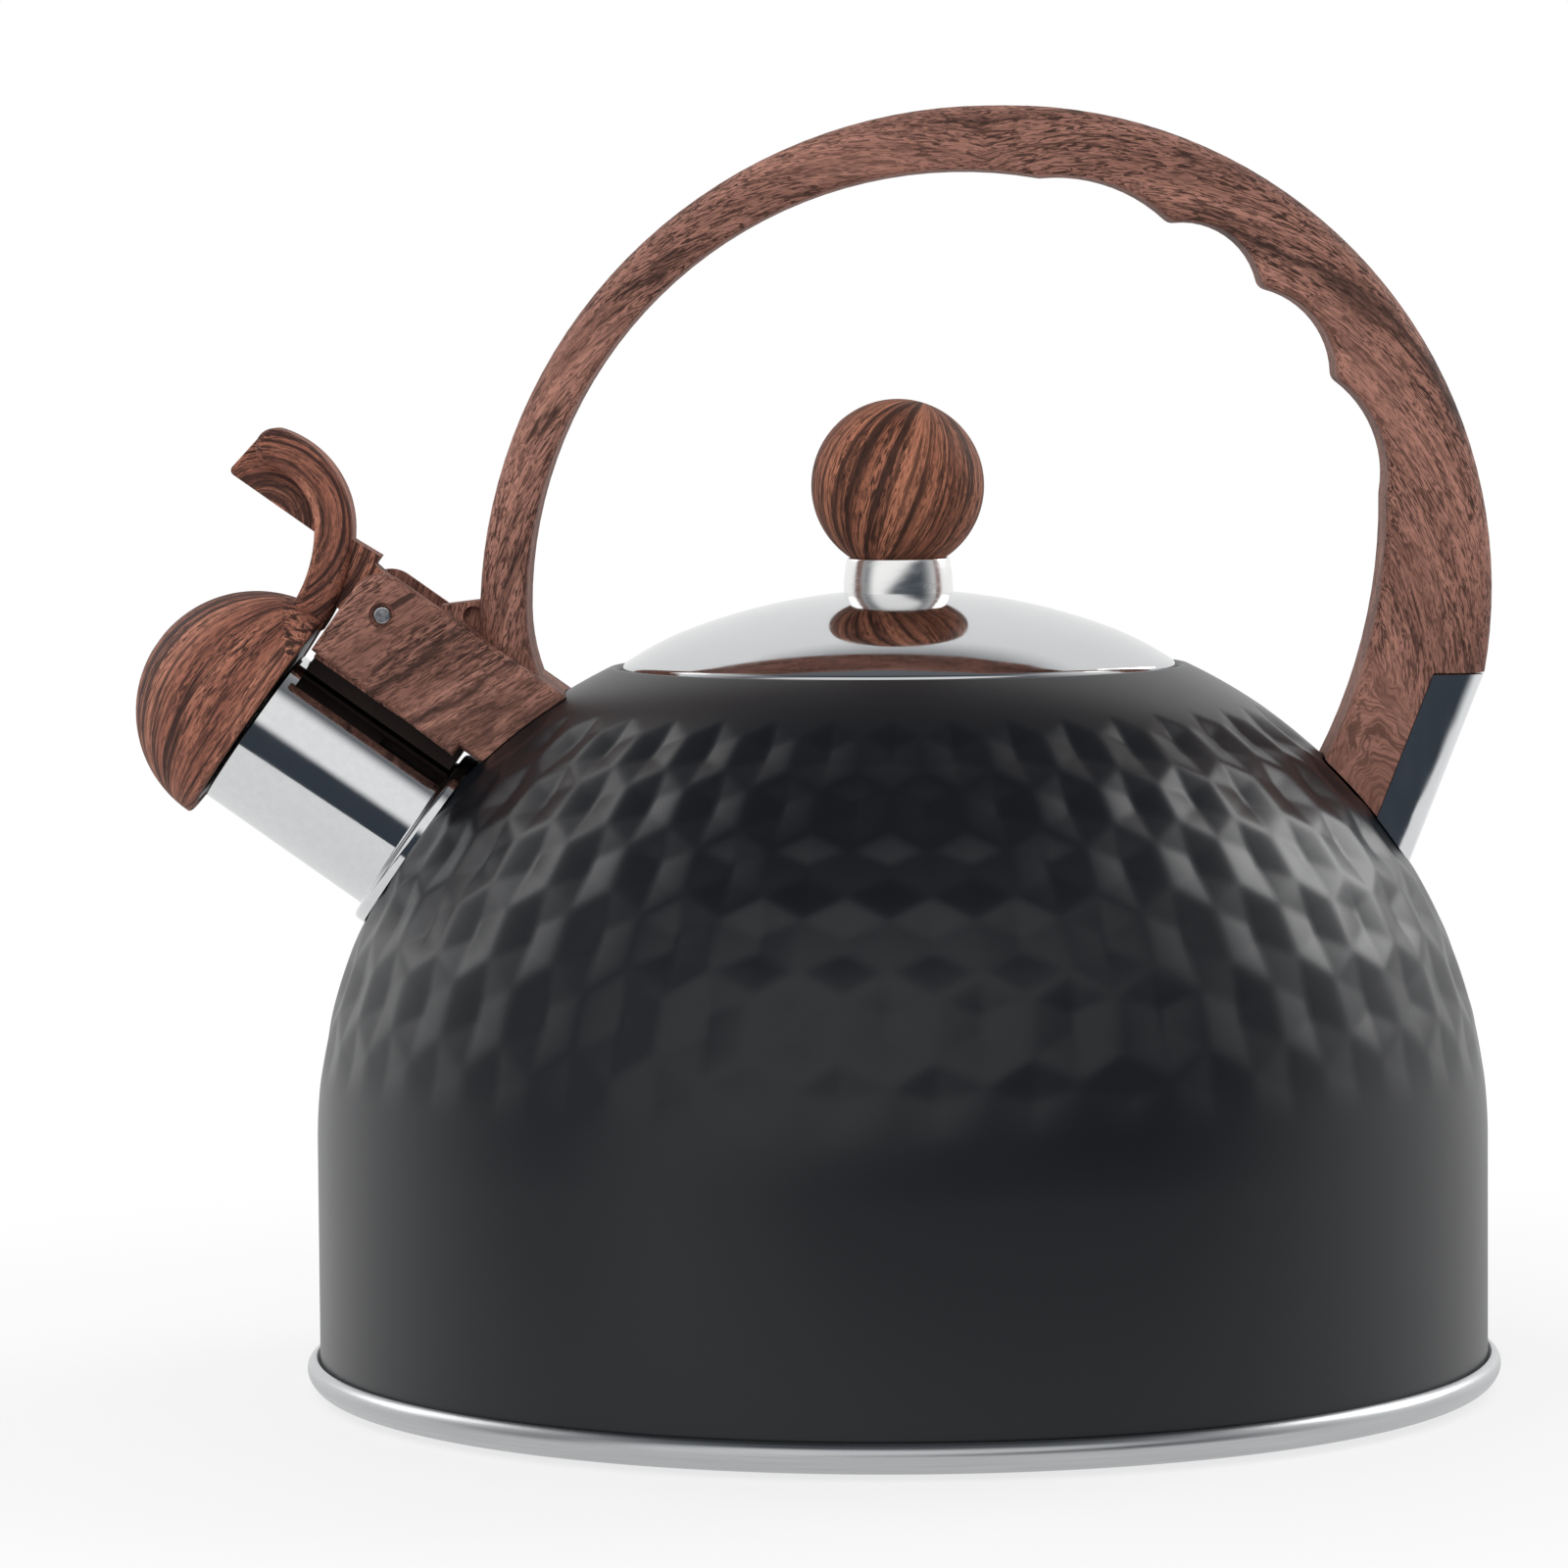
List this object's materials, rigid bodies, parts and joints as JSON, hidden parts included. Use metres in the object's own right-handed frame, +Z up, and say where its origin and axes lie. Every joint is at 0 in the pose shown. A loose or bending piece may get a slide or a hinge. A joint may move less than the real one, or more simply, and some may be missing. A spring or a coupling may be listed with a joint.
{
  "type": "stovetop whistling kettle",
  "caption": "Round stovetop whistling kettle with a hammered dome body, short spout with a sprung whistle cap, fixed arch handle with finger grips and a lift-off lid with a ball knob.",
  "frame": {"origin": "centre of the flat base, on the axis of the body, at the plane the kettle stands on", "axes": "+Z up along the body's axis, -X towards the spout, +X towards the back of the handle, +Y away from the picture's viewer"},
  "size_m": [0.2211, 0.1942, 0.2072],
  "materials": {
    "body_paint": "satin charcoal enamel on steel sheet",
    "polished_steel": "mirror-polished stainless steel",
    "satin_steel": "satin stainless steel",
    "spreader_aluminium": "rolled aluminium disc",
    "spring_steel": "drawn spring wire",
    "handle_nylon": "moulded nylon with a brown wood-grain print",
    "cap_nylon": "moulded nylon with a red-brown wood-grain print"
  },
  "bodies": {
    "kettle": {"kettle_body": "body_paint", "mouth_ring": "satin_steel", "base_pan": "satin_steel", "heat_spreader": "spreader_aluminium", "base_cap": "satin_steel", "spout_tube": "polished_steel", "front_bracket": "satin_steel", "front_screw": "satin_steel", "rear_bracket": "polished_steel", "rear_screw": "satin_steel", "handle": "handle_nylon", "cap_pin": "satin_steel", "cap_spring": "spring_steel"},
    "whistle_cap": {"spout_cap": "cap_nylon", "whistle_cup": "satin_steel", "whistle_inlet": "satin_steel", "whistle_outlet": "satin_steel"},
    "lid": {"lid_shell": "polished_steel", "lid_skirt": "satin_steel", "knob_ferrule": "polished_steel", "knob_ball": "cap_nylon", "knob_washer": "satin_steel", "knob_screw": "satin_steel"}
  },
  "joints": [
    {"name": "cap_hinge", "type": "hinge", "parent": "kettle", "child": "whistle_cap", "pos_m": [-0.08291, 0, 0.12627], "axis": [0, 1, 0], "range_deg": [0, 55], "stiffness_Nm_per_rad": 0.03, "springref_deg": -57.3, "deforming": ["cap_spring"]},
    {"name": "lid_lift", "type": "slide", "parent": "kettle", "child": "lid", "axis": [0, 0, 1], "range_m": [0, 0.03]}
  ]
}
